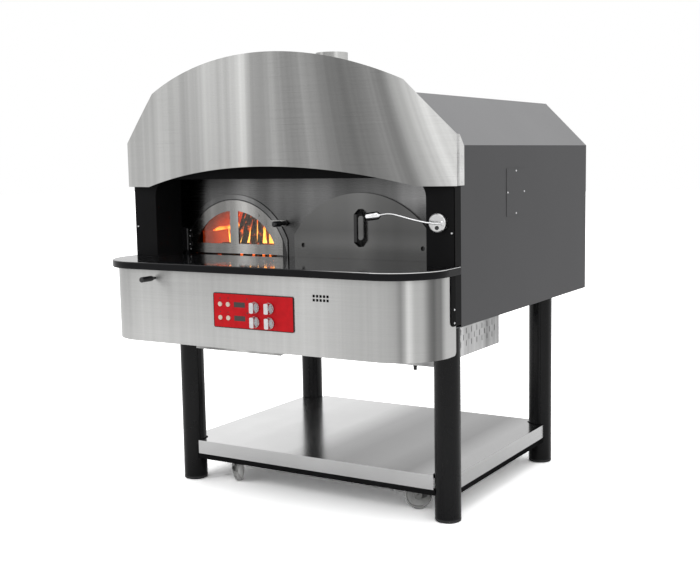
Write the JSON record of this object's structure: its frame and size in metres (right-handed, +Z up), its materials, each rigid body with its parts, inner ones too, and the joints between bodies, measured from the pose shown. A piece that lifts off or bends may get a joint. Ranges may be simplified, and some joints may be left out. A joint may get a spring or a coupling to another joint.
{
  "type": "rotating deck pizza oven",
  "caption": "Free-standing rotating deck pizza oven with an arched hood, fire door, removable mouth door, stone shelf and control panel on a black leg stand.",
  "frame": {"origin": "middle of the oven's footprint at floor level", "axes": "+X to the right of a cook who faces the doors, +Y from the doors to the back, +Z up"},
  "size_m": [1.716, 1.905, 2.05],
  "materials": {
    "black_gloss": "glossy black enamel",
    "black_satin": "satin black powder coat",
    "anthracite": "fine textured anthracite powder coat",
    "frame_grey": "grey primer",
    "steel": "brushed, vertical grain",
    "steel_fine": "fine satin grain",
    "chrome": "polished",
    "zinc": "zinc plated",
    "rubber": "matt black",
    "wheel": "pale grey wheel with a dark tread",
    "granite": "polished black granite",
    "red": "glossy red face",
    "display": "dark smoked window",
    "button": "warm white",
    "knob": "satin silver",
    "black_plastic": "smooth black",
    "glass": "clear heat-proof glass",
    "brick": "pale firebrick",
    "wool": "ceramic fibre blanket",
    "cast": "machined cast iron",
    "motor": "blue-grey motor paint"
  },
  "bodies": {
    "cabinet": {"legs": "black_gloss", "leg_inner_covers": "black_gloss", "foot_plugs": "rubber", "lower_frame": "black_satin", "lower_shelf": "steel", "base_frame": "frame_grey", "side_panel_left": "anthracite", "side_panel_right": "anthracite", "roof_panel": "anthracite", "rear_panel": "anthracite", "access_cover": "anthracite", "portal_frame": "black_satin", "recess_liner": "black_satin", "front_plate": "steel_fine", "hood": "steel", "flue_pipe": "steel", "granite_shelf": "granite", "apron": "steel", "control_panel": "red", "panel_displays": "display", "fire_door_frame": "steel_fine", "fire_hinge_pin": "zinc", "lamp_base": "chrome", "service_box": "steel", "cable_gland": "black_plastic", "deck_bearing": "cast", "gearmotor": "motor", "dome": "brick", "dome_insulation": "wool", "burner": "cast", "screws": "zinc"},
    "castor_fork_front_left": {"castor_fork_front_left": "zinc"},
    "castor_wheel_front_left": {"castor_wheel_front_left": "wheel"},
    "castor_fork_front_right": {"castor_fork_front_right": "zinc"},
    "castor_wheel_front_right": {"castor_wheel_front_right": "wheel"},
    "castor_fork_rear_left": {"castor_fork_rear_left": "zinc"},
    "castor_wheel_rear_left": {"castor_wheel_rear_left": "wheel"},
    "castor_fork_rear_right": {"castor_fork_rear_right": "zinc"},
    "castor_wheel_rear_right": {"castor_wheel_rear_right": "wheel"},
    "deck": {"baking_stone": "brick", "deck_carrier": "cast"},
    "pinion": {"drive_pinion": "zinc"},
    "fire_door": {"fire_door": "steel_fine", "fire_door_glass": "glass", "fire_door_knob": "black_plastic"},
    "mouth_door": {"mouth_door": "steel_fine", "mouth_door_handle": "black_plastic"},
    "lamp_arm": {"lamp_neck": "chrome", "lamp_head": "chrome"},
    "lamp_switch": {"lamp_switch": "black_plastic"},
    "knob_upper_left": {"knob_upper_left": "knob"},
    "button_upper_left": {"button_upper_left": "button"},
    "knob_upper_right": {"knob_upper_right": "knob"},
    "button_upper_right": {"button_upper_right": "button"},
    "knob_lower_left": {"knob_lower_left": "knob"},
    "button_lower_left": {"button_lower_left": "button"},
    "knob_lower_right": {"knob_lower_right": "knob"},
    "button_lower_right": {"button_lower_right": "button"},
    "pull_rod": {"pull_rod": "black_plastic"},
    "ash_drawer": {"ash_drawer": "steel"}
  },
  "joints": [
    {"name": "castor_swivel_front_left", "type": "hinge", "parent": "cabinet", "child": "castor_fork_front_left", "pos_m": [-0.491, -0.3245, 0.15], "axis": [0, 0, 1], "continuous": true},
    {"name": "castor_roll_front_left", "type": "hinge", "parent": "castor_fork_front_left", "child": "castor_wheel_front_left", "pos_m": [-0.47051, -0.34051, 0.0655], "axis": [0.6157, 0.788, 0], "continuous": true},
    {"name": "castor_swivel_front_right", "type": "hinge", "parent": "cabinet", "child": "castor_fork_front_right", "pos_m": [0.491, -0.3245, 0.15], "axis": [0, 0, 1], "continuous": true},
    {"name": "castor_roll_front_right", "type": "hinge", "parent": "castor_fork_front_right", "child": "castor_wheel_front_right", "pos_m": [0.51396, -0.31229, 0.0655], "axis": [-0.4695, 0.8829, 0], "continuous": true},
    {"name": "castor_swivel_rear_left", "type": "hinge", "parent": "cabinet", "child": "castor_fork_rear_left", "pos_m": [-0.491, 0.6255, 0.15], "axis": [0, 0, 1], "continuous": true},
    {"name": "castor_roll_rear_left", "type": "hinge", "parent": "castor_fork_rear_left", "child": "castor_wheel_rear_left", "pos_m": [-0.51543, 0.61661, 0.0655], "axis": [0.342, -0.9397, 0], "continuous": true},
    {"name": "castor_swivel_rear_right", "type": "hinge", "parent": "cabinet", "child": "castor_fork_rear_right", "pos_m": [0.491, 0.6255, 0.15], "axis": [0, 0, 1], "continuous": true},
    {"name": "castor_roll_rear_right", "type": "hinge", "parent": "castor_fork_rear_right", "child": "castor_wheel_rear_right", "pos_m": [0.49773, 0.65061, 0.0655], "axis": [-0.9659, 0.2588, 0], "continuous": true},
    {"name": "deck_spin", "type": "hinge", "parent": "cabinet", "child": "deck", "pos_m": [0, 0.2695, 1], "axis": [0, 0, 1], "continuous": true},
    {"name": "pinion_spin", "type": "hinge", "parent": "cabinet", "child": "pinion", "pos_m": [0.1351, 0.2695, 0.95], "axis": [0, 0, 1], "continuous": true},
    {"name": "fire_door_hinge", "type": "hinge", "parent": "cabinet", "child": "fire_door", "pos_m": [-0.668, -0.4248, 1.19], "axis": [0, 0, -1], "range_deg": [0, 90]},
    {"name": "mouth_door_lift_off", "type": "slide", "parent": "cabinet", "child": "mouth_door", "axis": [0, -1, 0], "range_m": [0, 0.12]},
    {"name": "lamp_turn", "type": "hinge", "parent": "cabinet", "child": "lamp_arm", "pos_m": [0.794, -0.6195, 1.302], "axis": [0, 1, 0], "range_deg": [-30, 18]},
    {"name": "lamp_switch_push", "type": "slide", "parent": "cabinet", "child": "lamp_switch", "axis": [0, 1, 0], "range_m": [0, 0.002], "stiffness_N_per_m": 800},
    {"name": "knob_turn_upper_left", "type": "hinge", "parent": "cabinet", "child": "knob_upper_left", "pos_m": [0.045, -0.8695, 0.954], "axis": [0, 1, 0], "range_deg": [0, 270]},
    {"name": "button_push_upper_left", "type": "slide", "parent": "cabinet", "child": "button_upper_left", "axis": [0, 1, 0], "range_m": [0, 0.0025], "stiffness_N_per_m": 600},
    {"name": "knob_turn_upper_right", "type": "hinge", "parent": "cabinet", "child": "knob_upper_right", "pos_m": [0.12, -0.8695, 0.954], "axis": [0, 1, 0], "range_deg": [0, 270]},
    {"name": "button_push_upper_right", "type": "slide", "parent": "cabinet", "child": "button_upper_right", "axis": [0, 1, 0], "range_m": [0, 0.0025], "stiffness_N_per_m": 600},
    {"name": "knob_turn_lower_left", "type": "hinge", "parent": "cabinet", "child": "knob_lower_left", "pos_m": [0.045, -0.8695, 0.892], "axis": [0, 1, 0], "range_deg": [0, 270]},
    {"name": "button_push_lower_left", "type": "slide", "parent": "cabinet", "child": "button_lower_left", "axis": [0, 1, 0], "range_m": [0, 0.0025], "stiffness_N_per_m": 600},
    {"name": "knob_turn_lower_right", "type": "hinge", "parent": "cabinet", "child": "knob_lower_right", "pos_m": [0.12, -0.8695, 0.892], "axis": [0, 1, 0], "range_deg": [0, 270]},
    {"name": "button_push_lower_right", "type": "slide", "parent": "cabinet", "child": "button_lower_right", "axis": [0, 1, 0], "range_m": [0, 0.0025], "stiffness_N_per_m": 600},
    {"name": "pull_rod_slide", "type": "slide", "parent": "cabinet", "child": "pull_rod", "axis": [0, -1, 0], "range_m": [0, 0.1]},
    {"name": "ash_drawer_slide", "type": "slide", "parent": "cabinet", "child": "ash_drawer", "axis": [0, -1, 0], "range_m": [0, 0.35]}
  ],
  "couplings": [
    {"joint": "pinion_spin", "follows": "deck_spin", "ratio": -4}
  ]
}
